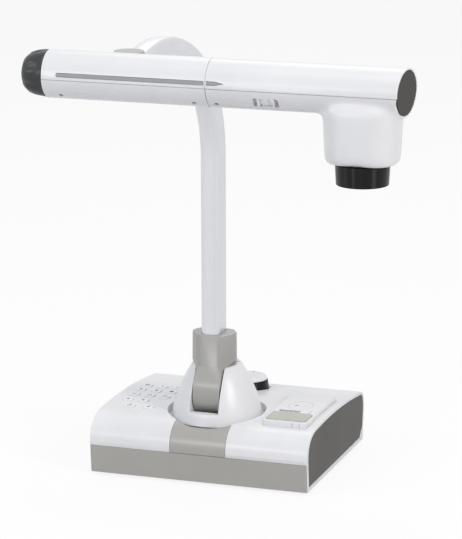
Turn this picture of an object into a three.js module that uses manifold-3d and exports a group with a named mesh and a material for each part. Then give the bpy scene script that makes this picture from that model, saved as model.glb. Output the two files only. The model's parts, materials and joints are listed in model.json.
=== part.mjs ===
// Desktop document camera: a weighted base with keys and a dial, a swivelling dome that holds a
// bent arm on a hinge pin, and a tubular camera head that turns and rolls at the end of the arm.
// Millimetres, +Z up, +X to the right along the front edge, the object stands on z = 0.
import * as THREE from 'three';
import Module from 'manifold-3d';
import { mergeVertices } from 'three/addons/utils/BufferGeometryUtils.js';

const wasm = await Module();
wasm.setup();

// Driving sizes that several pieces share
const gap = 0.3; // running clearance between neighbouring pieces
const overrun = 30; // how far a cutting solid runs past what it cuts
const halfTurn = Math.PI;
const rightAngle = halfTurn / 2;

// Base housing
const base = {
  width: 212, depth: 180, bottom: 3, bandTop: 29.5, bellyHeight: 33, footInset: 2.5,
  noseInset: 14, noseZ: 50, shoulderInset: 34, shoulderZ: 58, crownY: 10, crownZ: 61.5, backZ: 52.5,
  backRound: 14, tail: 5, wall: 2.6, cheek: 2.6, floor: 2.6, wrap: 2, lip: 0.8,
};

// Swivelling dome in its round well, and the hinge in it
const dome = {
  frontInset: 57, radius: 42.5, height: 51.9, wall: 3, moat: 4, wellDepth: 10.3, wellWall: 2.6, lift: 1.4,
  hubRadius: 13, hubDrop: 13.5, cableRadius: 6, nutRadius: 20, nutHeight: 5, bearingInset: 6.4,
  slotHalf: 14, lipRise: 11.4,
};
const hinge = { forward: 8, rise: 29.4, barrel: 23.5, pinRadius: 4, pocket: 1.1, washerRadius: 14 };

// Arm bar: upright, then a tight bend and a wide bend towards the front
const arm = {
  width: 18, depth: 26, wall: 2.8, corner: 5, footRise: 22, upright: 196,
  tightRadius: 105, tightAngle: 55, wideRadius: 187, wideAngle: 43, straight: 19,
};
const sleeve = {
  half: 21, narrowHalf: 12.9, frontHalf: 11.4, backHalf: 15, depth: 30, topRise: 53.5, corner: 3, edge: 1.2,
  shoulderRadius: 23.2, shoulderLift: 3.4, bulge: 18.2, bulgeForward: 6, bulgeDrop: 4,
};

// Head: a tube along X behind which the arm ends in a fork
const fork = {
  reach: 16.1, radius: 13, below: 13, above: 19.6, plate: 8.6, pinRadius: 3,
  tongueRadius: 12, tongueHalf: 8, notch: 1.2,
};
const head = {
  forward: 16, drop: 3.4, radius: 20.4, wall: 2.4, left: -65, seam: 79.6, right: 245.2, partDrop: 2.2,
  endWall: 2.6,
};
const knob = { length: 23, radius: 20.1, flutes: 7, fluteDepth: 1.5, bore: 3, boreDepth: 12 };
const lens = {
  inset: 36.6, half: 33, lowHalf: 30.7, halfDepth: 23.4, below: 59.8, sink: 10, corner: 20, round: 6,
  wall: 2.4, barrelRadius: 22.7, taper: 0.9, barrelWall: 3, barrelLength: 17.4,
  spigotRadius: 19.4, spigotLength: 8,
  glassRadius: 16.5, glassThick: 2.4, glassInset: 2.5,
};

// Places that several pieces share, worked out from the sizes
const halfWidth = base.width / 2;
const innerHalf = halfWidth - base.cheek;
const halfDepth = base.depth / 2;
const footHalf = halfDepth - base.footInset;
const noseY = halfDepth - base.noseInset;
const shoulderY = halfDepth - base.shoulderInset;
const rearBelly = halfDepth + base.tail;
const rearFoot = footHalf + base.tail;
const backY = rearBelly - base.backRound;
const domeY = -halfDepth + dome.frontInset;
const wellRadius = dome.radius + dome.moat;
const wellFloor = base.crownZ - dome.wellDepth;
const domeLow = wellFloor + dome.lift;
const domeTop = domeLow + dome.height;
const hingeY = domeY - hinge.forward;
const hingeZ = domeLow + hinge.rise;
const armFoot = hingeZ + arm.footRise;

// Plain-word helpers that make and place solids

function toSolid(geometry) {
  const bare = geometry.clone();
  bare.deleteAttribute('normal');
  bare.deleteAttribute('uv');
  const merged = mergeVertices(bare.index ? bare.toNonIndexed() : bare, gap / 1000);
  return new wasm.Manifold(new wasm.Mesh({
    numProp: 3,
    vertProperties: new Float32Array(merged.attributes.position.array),
    triVerts: new Uint32Array(merged.index.array),
  }));
}

function toGeometry(solid) {
  const mesh = solid.getMesh();
  const geometry = new THREE.BufferGeometry();
  geometry.setAttribute('position', new THREE.BufferAttribute(new Float32Array(mesh.vertProperties), 3));
  geometry.setIndex(new THREE.BufferAttribute(new Uint32Array(mesh.triVerts), 1));
  geometry.computeVertexNormals();
  return geometry;
}

function join(first, ...others) {
  return others.reduce((sum, other) => sum.add(other), first);
}

function cut(first, ...others) {
  return others.reduce((rest, other) => rest.subtract(other), first);
}

// A box from its lowest and highest corners
function block(low, high) {
  const size = high.map((value, axis) => value - low[axis]);
  const geometry = new THREE.BoxGeometry(...size);
  geometry.translate(...low.map((value, axis) => value + size[axis] / 2));
  return toSolid(geometry);
}

// A turned solid from [radius, height] points about +Z, its ends closed on the axis
function turned(points, segments) {
  const outline = points.map(([radius, height]) => new THREE.Vector2(radius, height));
  const geometry = new THREE.LatheGeometry(outline, segments);
  geometry.rotateX(rightAngle);
  return facingOut(geometry);
}

// A solid from a closed surface, turned inside out where its faces look inwards
function facingOut(geometry) {
  const solid = toSolid(geometry);
  if (solid.volume() > 0) return solid;
  const loose = geometry.toNonIndexed();
  const at = loose.attributes.position;
  for (let corner = 0; corner < at.count; corner += 3) {
    const keep = [at.getX(corner), at.getY(corner), at.getZ(corner)];
    at.setXYZ(corner, at.getX(corner + 1), at.getY(corner + 1), at.getZ(corner + 1));
    at.setXYZ(corner + 1, ...keep);
  }
  return toSolid(loose);
}

// A cylinder or cone along +Z between two heights
function drum(x, y, low, high, radius, segments = 32, topRadius = radius) {
  const geometry = new THREE.CylinderGeometry(topRadius, radius, high - low, segments);
  geometry.rotateX(rightAngle);
  geometry.translate(x, y, (low + high) / 2);
  return toSolid(geometry);
}

// A cylinder along +X between two places
function rod(y, z, left, right, radius, segments = 32) {
  const geometry = new THREE.CylinderGeometry(radius, radius, right - left, segments);
  geometry.rotateZ(-rightAngle);
  geometry.rotateX(halfTurn / segments);
  geometry.translate((left + right) / 2, y, z);
  return toSolid(geometry);
}

function roundedShape(halfX, halfY, corner) {
  const shape = new THREE.Shape();
  shape.moveTo(-halfX + corner, -halfY);
  shape.lineTo(halfX - corner, -halfY);
  shape.absarc(halfX - corner, -halfY + corner, corner, -rightAngle, 0);
  shape.lineTo(halfX, halfY - corner);
  shape.absarc(halfX - corner, halfY - corner, corner, 0, rightAngle);
  shape.lineTo(-halfX + corner, halfY);
  shape.absarc(-halfX + corner, halfY - corner, corner, rightAngle, halfTurn);
  shape.lineTo(-halfX, -halfY + corner);
  shape.absarc(-halfX + corner, -halfY + corner, corner, halfTurn, halfTurn + rightAngle);
  return shape;
}

// A rounded block along +Z, with its end edges rounded by `bevel`, tapered downwards in X and Y
function roundedBlock(halfX, halfY, low, high, corner, bevel, options = {}) {
  const { curveSegments = 3, bevelSegments = 1, lowShares = [1, 1] } = options;
  const shape = roundedShape(halfX - bevel, halfY - bevel, Math.max(corner - bevel, corner / 8));
  return blockOf(shape, low, high, bevel, { curveSegments, bevelSegments, lowShares });
}

// A block along +Z of any outline, tapered the same way
function blockOf(shape, low, high, bevel, { curveSegments, bevelSegments, lowShares }) {
  const geometry = new THREE.ExtrudeGeometry(shape, {
    depth: high - low - 2 * bevel, curveSegments, steps: 1,
    bevelEnabled: bevel > 0, bevelThickness: bevel, bevelSize: bevel, bevelSegments,
  });
  geometry.translate(0, 0, low + bevel);
  const at = geometry.attributes.position;
  for (let corner = 0; corner < at.count; corner += 1) {
    const rise = (at.getZ(corner) - low) / (high - low);
    const [shareX, shareY] = lowShares.map((share) => share + (1 - share) * rise);
    at.setXY(corner, at.getX(corner) * shareX, at.getY(corner) * shareY);
  }
  return toSolid(geometry);
}

// A side outline in Y and Z, extruded along X between two places
function extrudedAlongX(shape, left, right, curveSegments = 8) {
  const geometry = new THREE.ExtrudeGeometry(shape, {
    depth: right - left, bevelEnabled: false, curveSegments,
  });
  geometry.rotateX(rightAngle);
  geometry.rotateZ(rightAngle);
  geometry.translate(left, 0, 0);
  return toSolid(geometry);
}

function moved(solid, x, y, z) {
  return solid.translate([x, y, z]);
}

const finishes = {
  white: { color: 0xeeeff2, roughness: 0.35, metalness: 0 },
  grey: { color: 0xa3a39d, roughness: 0.5, metalness: 0 },
  panel: { color: 0x4b4941, roughness: 0.25, metalness: 0 },
  rubber: { color: 0x4d4f51, roughness: 0.75, metalness: 0 },
  black: { color: 0x101113, roughness: 0.15, metalness: 0 },
  silver: { color: 0xd3d6da, roughness: 0.3, metalness: 1 },
  steel: { color: 0x8c8f92, roughness: 0.4, metalness: 1 },
  stripe: { color: 0x9696a0, roughness: 0.45, metalness: 0 },
  board: { color: 0x2f6b45, roughness: 0.6, metalness: 0 },
  glass: { color: 0x24303c, roughness: 0.05, metalness: 0 },
  key: { color: 0xf2f2f4, roughness: 0.4, metalness: 0 },
  window: { color: 0xb4b5a8, roughness: 0.3, metalness: 0 },
};

const documentCamera = new THREE.Group();

function addPiece(name, solid, finish) {
  const mesh = new THREE.Mesh(toGeometry(solid), new THREE.MeshStandardMaterial(finishes[finish]));
  mesh.name = name;
  documentCamera.add(mesh);
}

// Base housing outline: front bottom, belly, big front round, crowned top, back
function baseOutline(inset, bottom, { front = 0, corner = 0 } = {}) {
  const shape = new THREE.Shape();
  const belly = halfDepth - inset;
  const back = rearBelly - inset;
  shape.moveTo(-footHalf + inset + front, bottom);
  shape.lineTo(-belly + front, base.bellyHeight);
  shape.bezierCurveTo(
    -belly + front, base.noseZ, -noseY + front, base.shoulderZ - inset - gap,
    -shoulderY, base.shoulderZ - inset,
  );
  shape.quadraticCurveTo(base.crownY, base.crownZ - inset, backY, base.backZ - inset);
  shape.quadraticCurveTo(back, base.backZ - inset, back, base.backZ - base.backRound - inset);
  shape.lineTo(back, base.bellyHeight);
  if (corner > 0) shape.lineTo(rearFoot - inset, bottom + corner);
  shape.lineTo(rearFoot - inset - corner, bottom);
  shape.closePath();
  return shape;
}

const crown = new THREE.QuadraticBezierCurve(
  new THREE.Vector2(-shoulderY, base.shoulderZ),
  new THREE.Vector2(base.crownY, base.crownZ),
  new THREE.Vector2(backY, base.backZ),
);

// Height of the crowned top at a place along Y
function topHeight(y) {
  let low = 0;
  let high = 1;
  for (let halving = 0; halving < 30; halving += 1) {
    const middle = (low + high) / 2;
    if (crown.getPoint(middle).x < y) low = middle;
    else high = middle;
  }
  return crown.getPoint(low).y;
}

const outside = extrudedAlongX(baseOutline(0, base.bottom), -halfWidth, halfWidth);
const inside = extrudedAlongX(baseOutline(base.wall, base.bottom - base.floor), -innerHalf, innerHalf);
const bandZone = block(
  [-innerHalf, -halfDepth - overrun, base.bottom - overrun],
  [innerHalf, rearBelly + overrun, base.bandTop + gap],
);
// The grey band wraps round the front of both cheeks
const bandWrap = (grow) => cut(
  outside, extrudedAlongX(baseOutline(base.wrap + grow, base.bottom - base.floor), -halfWidth, halfWidth),
).intersect(block(
  [-halfWidth + base.lip - grow, -halfDepth - overrun, base.bottom - overrun],
  [halfWidth - base.lip + grow, -footHalf + 2 * base.wrap, base.bandTop + grow],
));

// Grey trim in the middle of the front, from the band up to the dome
const trim = { half: 27, thick: 1.5, overlap: 2, drop: 5 };
const trimBack = -shoulderY - trim.overlap;
const trimTop = base.crownZ - trim.drop;
const trimZone = block(
  [-trim.half, -halfDepth - overrun, base.bandTop], [trim.half, trimBack, trimTop],
);
const trimSkin = cut(outside, extrudedAlongX(baseOutline(trim.thick, base.bottom), -halfWidth, halfWidth));
const trimPocket = cut(
  block(
    [-trim.half - gap, -halfDepth - overrun, base.bandTop], [trim.half + gap, trimBack, trimTop],
  ),
  extrudedAlongX(baseOutline(trim.thick + gap, base.bottom), -halfWidth, halfWidth),
);

const well = drum(0, domeY, wellFloor, base.crownZ + overrun, wellRadius, 48);
const wellCup = drum(0, domeY, wellFloor - dome.wellWall, base.crownZ, wellRadius + dome.wellWall, 48)
  .intersect(outside);
const hubHole = drum(0, domeY, base.bottom, wellFloor + overrun, dome.hubRadius + gap);

// Keys fill the room between the left cheek and the well, two in each front row, then three
const keys = {
  inset: 16, wellClear: 9.9, betweenShare: 0.37, halfY: 4, frontInset: 41, rowPitch: 17.75,
  proud: 0.9, depth: 4.6, corner: 1.6, edge: 0.6, margin: 0.35, travel: 1, stem: 1.8,
};
const firstColumn = -halfWidth + keys.inset;
const lastColumn = -wellRadius - dome.wellWall - keys.wellClear;
const keyPitch = (lastColumn - firstColumn) / 2;
const keyHalf = keyPitch * (1 - keys.betweenShare) / 2;
const firstRow = -halfDepth + keys.frontInset;
// Each row, from the front, as shares of the column pitch
const rowShares = [[0.55, 1.75], [0, 1], [0, 1, 2], [0, 1, 2], [0, 1, 2]];
const keyPlaces = rowShares.flatMap((columnShares, row) => columnShares.map(
  (share) => [firstColumn + share * keyPitch, firstRow + row * keys.rowPitch],
));
const lastRow = firstRow + (rowShares.length - 1) * keys.rowPitch;

// Dial at the back, and the raised control pod on the right
const dial = {
  backInset: 29.5, radius: 20, topRadius: 16.5, skirt: 3.2, height: 13.2, edge: 1.3,
  stem: 5, clear: 1.5, wellDepth: 2,
};
const dialY = halfDepth - dial.backInset;
const dialWellFloor = topHeight(dialY) - dial.wellDepth;
const dialWellRadius = dial.radius + dial.clear;
const pod = {
  wellClear: 5.4, margin: 8, frontInset: 24, length: 98, proud: 1.1, depth: 9.6, corner: 4, edge: 1,
};
const podLeft = wellRadius + dome.wellWall + pod.wellClear;
const podRight = halfWidth - pod.margin;
const podFront = -halfDepth + pod.frontInset;
const podHalf = [(podRight - podLeft) / 2, pod.length / 2];
const podMiddle = [(podLeft + podRight) / 2, podFront + pod.length / 2];
const podTop = base.crownZ + pod.proud;
const podLow = podTop - pod.depth;
const podKey = {
  sideInset: 2.5, frontInset: 2.8, length: 25.2, proud: 0.9, thick: 3.2, corner: 3, edge: 0.5,
};

const podPocket = moved(
  roundedBlock(podHalf[0] + gap, podHalf[1] + gap, podLow - gap, base.crownZ + overrun, pod.corner, 0),
  ...podMiddle, 0,
);
const podCup = moved(
  roundedBlock(
    podHalf[0] + base.wall, podHalf[1] + base.wall, podLow - base.wall, base.crownZ,
    pod.corner + base.wall, 0,
  ),
  ...podMiddle, 0,
).intersect(outside);

const dialWell = drum(0, dialY, dialWellFloor, base.crownZ + overrun, dialWellRadius, 40);
const dialCup = drum(
  0, dialY, dialWellFloor - base.wall, base.crownZ, dialWellRadius + base.wall, 40,
).intersect(outside);
const dialHole = drum(0, dialY, base.bottom, base.crownZ + overrun, dial.stem + gap);

const keyHoles = keyPlaces.map(([x, y]) => moved(
  roundedBlock(
    keyHalf + keys.margin, keys.halfY + keys.margin,
    base.bandTop + base.wall, base.crownZ + overrun, keys.corner, 0, { curveSegments: 1 },
  ),
  x, y, 0,
));

// Keypad board and its rubber mat hang on bosses under the cover
const mat = { outer: 8, inner: 5, end: 7, drop: 9.9, thick: 1.6, board: 1.6, boss: 3 };
const matTop = base.crownZ - mat.drop;
const matX = [firstColumn - mat.outer, lastColumn + mat.inner];
const matY = [firstRow - mat.end, lastRow + mat.end];
const matCorners = matX.flatMap((x) => matY.map((y) => [x, y]));
const matBosses = matCorners.map(([x, y]) => drum(
  x, y, matTop - mat.thick, topHeight(y) - base.wall / 2, mat.boss, 12,
));

// Dark panels sit in shallow recesses in both cheeks
const panel = { rim: 2.8, front: 2.2, under: 1.6, corner: 9, thick: 1.2 };
const panelOutline = (extra) => baseOutline(
  panel.rim - extra, base.bottom + panel.rim + panel.under - extra, panel,
);
const panelDepth = panel.thick + gap;
const rightRecess = extrudedAlongX(panelOutline(gap), halfWidth - panelDepth, halfWidth + overrun);
const leftRecess = extrudedAlongX(panelOutline(gap), -halfWidth - overrun, -halfWidth + panelDepth);

// Rear connector panel, recessed in the back of the tray
const rear = { inset: 44, low: 8, high: 26, thick: 1.6 };
const rearHalf = halfWidth - rear.inset;

const openShell = cut(outside, inside, bandZone, bandWrap(gap));
const coverShell = join(openShell, wellCup, podCup, dialCup, ...matBosses);
const cover = cut(
  coverShell, well, hubHole, trimPocket, podPocket, dialWell, dialHole, ...keyHoles, rightRecess, leftRecess,
);
addPiece('base_cover', cover, 'white');
addPiece('front_trim', cut(
  trimSkin.intersect(trimZone),
  drum(0, domeY, base.bottom, base.crownZ + overrun, wellRadius, 48),
  block(
    [-halfWidth, -halfDepth - overrun, base.bottom],
    [halfWidth, trimBack + overrun, base.bandTop + gap],
  ),
), 'grey');
addPiece('side_panel_right', extrudedAlongX(panelOutline(0), halfWidth - panel.thick, halfWidth), 'panel');
addPiece('side_panel_left', extrudedAlongX(panelOutline(0), -halfWidth, -halfWidth + panel.thick), 'panel');

// Tray: the grey band and the floor, with posts for the board
const trayOutside = cut(outside, block(
  [-halfWidth - overrun, -halfDepth - overrun, base.bandTop],
  [halfWidth + overrun, rearBelly + overrun, base.crownZ + overrun],
)).intersect(block(
  [-innerHalf + gap, -halfDepth - overrun, base.bottom],
  [innerHalf - gap, rearBelly + overrun, base.bandTop + overrun],
));
const trayInside = extrudedAlongX(
  baseOutline(base.wall, base.bottom + base.floor),
  -innerHalf + gap + base.wall, innerHalf - gap - base.wall,
);
const trayFloor = base.bottom + base.floor;
const board = {
  inset: 14, length: 112, frontClear: 17.5, depth: 54, thick: 1.6, rise: 9, post: 3, postInset: 6,
};
const boardX = [halfWidth - board.inset - board.length, halfWidth - board.inset];
const boardY = [-footHalf + board.frontClear, -footHalf + board.frontClear + board.depth];
const boardPosts = [boardX[0] + board.postInset, boardX[1] - board.postInset].flatMap((x) => [
  boardY[0] + board.postInset, boardY[1] - board.postInset,
].map((y) => drum(x, y, trayFloor - gap, trayFloor + board.rise, board.post, 12)));
const rearZone = [
  [-rearHalf, rearFoot - 2 * base.wall, rear.low],
  [rearHalf, rearBelly + overrun, rear.high],
];
const rearSkin = cut(
  outside,
  extrudedAlongX(baseOutline(rear.thick, base.bottom), -halfWidth, halfWidth),
);
const rearPocket = cut(
  block(
    [-rearHalf - gap, rearFoot - 2 * base.wall, rear.low - gap],
    [rearHalf + gap, rearBelly + overrun, rear.high + gap],
  ),
  extrudedAlongX(baseOutline(rear.thick + gap, base.bottom), -halfWidth, halfWidth),
);
addPiece('base_tray', cut(
  join(cut(trayOutside, trayInside), bandWrap(0), ...boardPosts), rearPocket,
), 'grey');

// Ports sunk into the rear panel: place and width as shares of its half length, height of its height
const portShares = [
  [0.71, 0.23, 0.61], [0.35, 0.21, 0.33], [0.03, 0.16, 0.5], [-0.29, 0.24, 0.33], [-0.68, 0.15, 0.5],
];
const portDepth = rear.thick / 2;
const portMiddle = (rear.low + rear.high) / 2;
const portHoles = portShares.map(([placeShare, widthShare, heightShare]) => {
  const across = (widthShare * rearHalf) / 2;
  const up = (heightShare * (rear.high - rear.low)) / 2;
  return block(
    [placeShare * rearHalf - across, rearFoot + base.wall / 2 - portDepth, portMiddle - up],
    [placeShare * rearHalf + across, rearBelly + overrun, portMiddle + up],
  );
});
addPiece('rear_panel', cut(rearSkin.intersect(block(...rearZone)), ...portHoles), 'black');

// Rubber feet under the tray
const foot = { insetX: 18, insetY: 17.5, radius: 8, lowRadius: 7 };
const footY = { front: -footHalf + foot.insetY, rear: rearFoot - foot.insetY };
for (const [side, end, name] of [
  [-1, 'front', 'foot_front_left'], [1, 'front', 'foot_front_right'],
  [-1, 'rear', 'foot_rear_left'], [1, 'rear', 'foot_rear_right'],
]) {
  addPiece(name, drum(
    side * (halfWidth - foot.insetX), footY[end],
    0, base.bottom - gap / 3, foot.lowRadius, 24, foot.radius,
  ), 'rubber');
}

// Steel ballast plate and the main board
const ballast = { inset: 22, depth: 82, rearClear: 11.5, thick: 9, corner: 6 };
const ballastBack = footHalf - ballast.rearClear;
addPiece('ballast_plate', moved(
  roundedBlock(
    halfWidth - ballast.inset, ballast.depth / 2,
    trayFloor + gap, trayFloor + gap + ballast.thick, ballast.corner, 0,
  ),
  0, ballastBack - ballast.depth / 2, 0,
), 'steel');
const boardLow = trayFloor + board.rise + gap;
addPiece('main_board', block(
  [boardX[0], boardY[0], boardLow], [boardX[1], boardY[1], boardLow + board.thick],
), 'board');

// Keypad
const matLow = matTop - mat.thick;
addPiece('keypad_board', block(
  [matX[0] - mat.boss, matY[0] - mat.boss, matLow - gap - mat.board],
  [matX[1] + mat.boss, matY[1] + mat.boss, matLow - gap],
), 'board');
addPiece('keypad_mat', cut(
  block([matX[0], matY[0], matLow], [matX[1], matY[1], matTop]),
  ...matCorners.map(([x, y]) => drum(x, y, matTop - overrun, matTop + overrun, mat.boss + gap, 12)),
), 'rubber');
keyPlaces.forEach(([x, y], index) => {
  const top = topHeight(y) + keys.proud;
  const cap = roundedBlock(
    keyHalf, keys.halfY, top - keys.depth, top, keys.corner, keys.edge, { curveSegments: 2 },
  );
  const stem = drum(0, 0, matTop + keys.travel + gap, top - keys.depth + keys.edge, keys.stem, 12);
  addPiece(`key_${String(index + 1).padStart(2, '0')}`, moved(join(cap, stem), x, y, 0), 'key');
});

// Dial: a tapered turning knob on a stem, over its encoder
const dialTop = dialWellFloor + dial.height;
const dialKnob = turned([
  [0, dialWellFloor + gap], [dial.radius, dialWellFloor + gap], [dial.radius, dialWellFloor + dial.skirt],
  [(dial.radius + dial.topRadius) / 2, dialTop - 2 * dial.edge], [dial.topRadius, dialTop - gap],
  [dial.topRadius - dial.edge, dialTop], [0, dialTop],
], 40);
const dialStem = drum(0, 0, dialWellFloor - base.wall - dial.stem, dialWellFloor + base.wall, dial.stem);
addPiece('dial', moved(join(dialKnob, dialStem), 0, dialY, 0), 'rubber');
const encoder = { half: 9, height: 7 };
const encoderTop = dialWellFloor - base.wall - gap;
addPiece('dial_encoder', cut(
  block(
    [-encoder.half, dialY - encoder.half, encoderTop - encoder.height],
    [encoder.half, dialY + encoder.half, encoderTop],
  ),
  drum(0, dialY, base.bottom, base.crownZ, dial.stem + gap),
), 'black');

// Control pod: raised block with one wide key in its top
const podBody = moved(
  roundedBlock(...podHalf, podLow, podTop, pod.corner, pod.edge),
  ...podMiddle, 0,
);
const podKeyMiddle = podFront + podKey.frontInset + podKey.length / 2;
const podKeyBlock = (grow, low, high) => moved(
  roundedBlock(
    podHalf[0] - podKey.sideInset + grow, podKey.length / 2 + grow, low, high,
    podKey.corner, grow > 0 ? 0 : podKey.edge,
  ),
  podMiddle[0], podKeyMiddle, 0,
);
const podKeyLow = podTop + podKey.proud - podKey.thick;
addPiece('control_pod', cut(podBody, podKeyBlock(
  keys.margin, podKeyLow - keys.travel - gap, podTop + overrun,
)), 'white');
addPiece('pod_key', podKeyBlock(0, podKeyLow, podTop + podKey.proud), 'window');

// Swivelling dome with the slot for the arm's barrel; its outline is in shares of radius and height
const domeShares = [
  [1, 0], [0.994, 0.032], [0.972, 0.158], [0.924, 0.316], [0.858, 0.476], [0.775, 0.639], [0.683, 0.786],
  [0.588, 0.927], [0.555, 0.976], [0.51, 1],
];
const domeProfile = (inset, low, high) => [
  [0, low],
  ...domeShares.map(([out, up]) => [out * dome.radius - inset, low + up * (high - low)]),
  [0, high],
];
const domeFloor = domeLow + dome.wall;
const lipZ = domeLow + dome.lipRise;
const domeBody = moved(turned(domeProfile(0, domeLow, domeTop), 48), 0, domeY, 0);
const domeHollow = moved(turned(
  domeProfile(dome.wall, domeFloor, domeTop - dome.wall), 32,
), 0, domeY, 0);
const slotBack = hingeY + hinge.barrel + hinge.pocket;
const slotFront = hingeY - hinge.barrel - hinge.pocket;
const cheekHalf = dome.slotHalf + dome.wall;
const cheeks = block(
  [-cheekHalf, domeY - dome.radius, domeFloor - gap], [cheekHalf, slotBack + dome.wall, domeTop],
).intersect(domeBody);
const slot = join(
  block([-dome.slotHalf, slotFront, domeFloor], [dome.slotHalf, slotBack, domeTop + overrun]),
  block(
    [-dome.slotHalf, domeY - dome.radius - overrun, lipZ], [dome.slotHalf, slotBack, domeTop + overrun],
  ),
);
const ventX = (dome.slotHalf + dome.radius) / 2;
const domeVents = [-ventX, ventX].map(
  (x) => drum(x, domeY, domeLow - overrun / 2, domeFloor + gap, dome.cableRadius, 16),
);
const hub = drum(0, domeY, domeLow - dome.hubDrop, domeLow + gap, dome.hubRadius);
const hubBore = drum(0, domeY, domeLow - dome.hubDrop - overrun, domeFloor + gap, dome.cableRadius, 24);
// Round the hinge, the dome's cheeks and the sleeve's shoulders follow one cone on each side
const shoulders = (grow) => {
  const near = sleeve.shoulderRadius + grow;
  const far = near + sleeve.shoulderLift;
  const half = turned([[0, 0], [near, 0], [near, sleeve.narrowHalf], [far, sleeve.half], [far, halfWidth],
    [0, halfWidth]], 64).rotate([0, 90, 0]);
  return join(half, half.mirror([1, 0, 0])).translate([0, hingeY, hingeZ]);
};
const shoulderRoom = cut(block(
  [-halfWidth, hingeY - dome.radius, hingeZ + gap],
  [halfWidth, hingeY + sleeve.depth / 2 + gap, domeTop + overrun],
), shoulders(0));
addPiece('pivot_dome', cut(
  join(cut(domeBody, domeHollow), cheeks, hub), slot, ...domeVents, hubBore, shoulderRoom,
  rod(hingeY, hingeZ, -cheekHalf - gap, cheekHalf + gap, hinge.pinRadius + gap, 24),
), 'white');
const nutTop = wellFloor - dome.wellWall - gap;
addPiece('swivel_nut', cut(
  drum(0, domeY, nutTop - dome.nutHeight, nutTop, dome.nutRadius, 32),
  drum(0, domeY, base.bottom, domeTop, dome.hubRadius + gap, 32),
), 'steel');
addPiece('swivel_bearing', cut(
  drum(0, domeY, wellFloor + gap, domeLow - gap, dome.radius - dome.bearingInset, 40),
  drum(0, domeY, base.bottom, domeTop, dome.hubRadius + base.wall, 32),
), 'steel');
addPiece('hinge_pin', rod(hingeY, hingeZ, -cheekHalf, cheekHalf, hinge.pinRadius, 24), 'steel');
const washerSpace = dome.slotHalf - sleeve.narrowHalf;
for (const [side, name] of [[-1, 'friction_washer_left'], [1, 'friction_washer_right']]) {
  const middle = side * (sleeve.narrowHalf + washerSpace / 2);
  const half = (washerSpace - 2 * gap) / 2;
  addPiece(name, cut(
    rod(hingeY, hingeZ, middle - half, middle + half, hinge.washerRadius, 28),
    rod(hingeY, hingeZ, -halfWidth, halfWidth, hinge.pinRadius + gap, 24),
  ), 'steel');
}

// Arm sleeve: a barrel on the hinge pin, a narrow neck and a wide socket with slanting sides
const sleeveTop = hingeZ + sleeve.topRise;
const sleeveFront = sleeve.depth / 2;
const neck = wasm.Manifold.hull([
  rod(hingeY, hingeZ, -sleeve.narrowHalf, sleeve.narrowHalf, hinge.barrel, 48),
  rod(
    hingeY - sleeve.bulgeForward, hingeZ - sleeve.bulgeDrop,
    -sleeve.narrowHalf, sleeve.narrowHalf, sleeve.bulge, 40,
  ),
  block(
    [-sleeve.frontHalf, hingeY - sleeveFront, hingeZ],
    [sleeve.frontHalf, hingeY + sleeveFront - sleeve.edge, hingeZ + sleeve.shoulderRadius],
  ),
]);
const socketShape = new THREE.Shape();
const socketPoints = [
  [-sleeve.frontHalf, -sleeveFront], [sleeve.frontHalf, -sleeveFront], [sleeve.half, -sleeve.corner],
  [sleeve.half, 2 * sleeve.corner], [sleeve.backHalf, sleeveFront], [-sleeve.backHalf, sleeveFront],
  [-sleeve.half, 2 * sleeve.corner], [-sleeve.half, -sleeve.corner],
].map(([x, y]) => new THREE.Vector2(x - Math.sign(x) * sleeve.edge, y - Math.sign(y) * sleeve.edge));
socketPoints.forEach((point, index) => {
  const before = socketPoints.at(index - 1);
  const after = socketPoints[(index + 1) % socketPoints.length];
  const start = before.clone().sub(point).setLength(sleeve.corner).add(point);
  const end = after.clone().sub(point).setLength(sleeve.corner).add(point);
  if (index === 0) socketShape.moveTo(start.x, start.y);
  else socketShape.lineTo(start.x, start.y);
  socketShape.quadraticCurveTo(point.x, point.y, end.x, end.y);
});
socketShape.closePath();
const socketBody = cut(
  blockOf(
    socketShape, hingeZ, sleeveTop, sleeve.edge,
    { curveSegments: 3, bevelSegments: 2, lowShares: [1.03, 1] },
  ).translate([0, hingeY, 0]),
  shoulders(gap),
);
const barSpace = (grow, low, high) => moved(
  roundedBlock(arm.width / 2 + grow, arm.depth / 2 + grow, low, high, arm.corner, 0), 0, hingeY, 0,
);
addPiece('arm_sleeve', cut(
  join(neck, socketBody),
  barSpace(gap, armFoot - gap, sleeveTop + overrun),
  rod(hingeY, hingeZ, -halfWidth, halfWidth, hinge.pinRadius + gap, 24),
), 'grey');

// Arm bar: a hollow rounded section swept along the bent centre line
const turn = (degrees) => (degrees * halfTurn) / 180;
class ArmPath extends THREE.Curve {
  constructor() {
    super();
    this.rise = arm.upright;
    this.tight = arm.tightRadius * turn(arm.tightAngle);
    this.wide = arm.wideRadius * turn(arm.wideAngle);
    this.whole = this.rise + this.tight + this.wide + arm.straight;
  }

  // Place and heading at a distance along the centre line
  at(distance) {
    const along = Math.min(Math.max(distance, 0), this.whole);
    let y = hingeY;
    let z = armFoot + Math.min(along, this.rise);
    const inTight = Math.min(Math.max(along - this.rise, 0), this.tight);
    const heading = inTight / arm.tightRadius;
    y -= arm.tightRadius * (1 - Math.cos(heading));
    z += arm.tightRadius * Math.sin(heading);
    const inWide = Math.min(Math.max(along - this.rise - this.tight, 0), this.wide);
    const next = heading + inWide / arm.wideRadius;
    y -= arm.wideRadius * (Math.cos(heading) - Math.cos(next));
    z += arm.wideRadius * (Math.sin(next) - Math.sin(heading));
    const last = Math.max(along - this.rise - this.tight - this.wide, 0);
    y -= last * Math.sin(next);
    z += last * Math.cos(next);
    return { y, z, heading: next };
  }

  getPoint(share, target = new THREE.Vector3()) {
    const place = this.at(share * this.whole);
    return target.set(0, place.y, place.z);
  }
}
const armPath = new ArmPath();
const armEnd = armPath.at(armPath.whole);
const forkY = armEnd.y - fork.reach;
const headY = forkY - head.forward;
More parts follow.
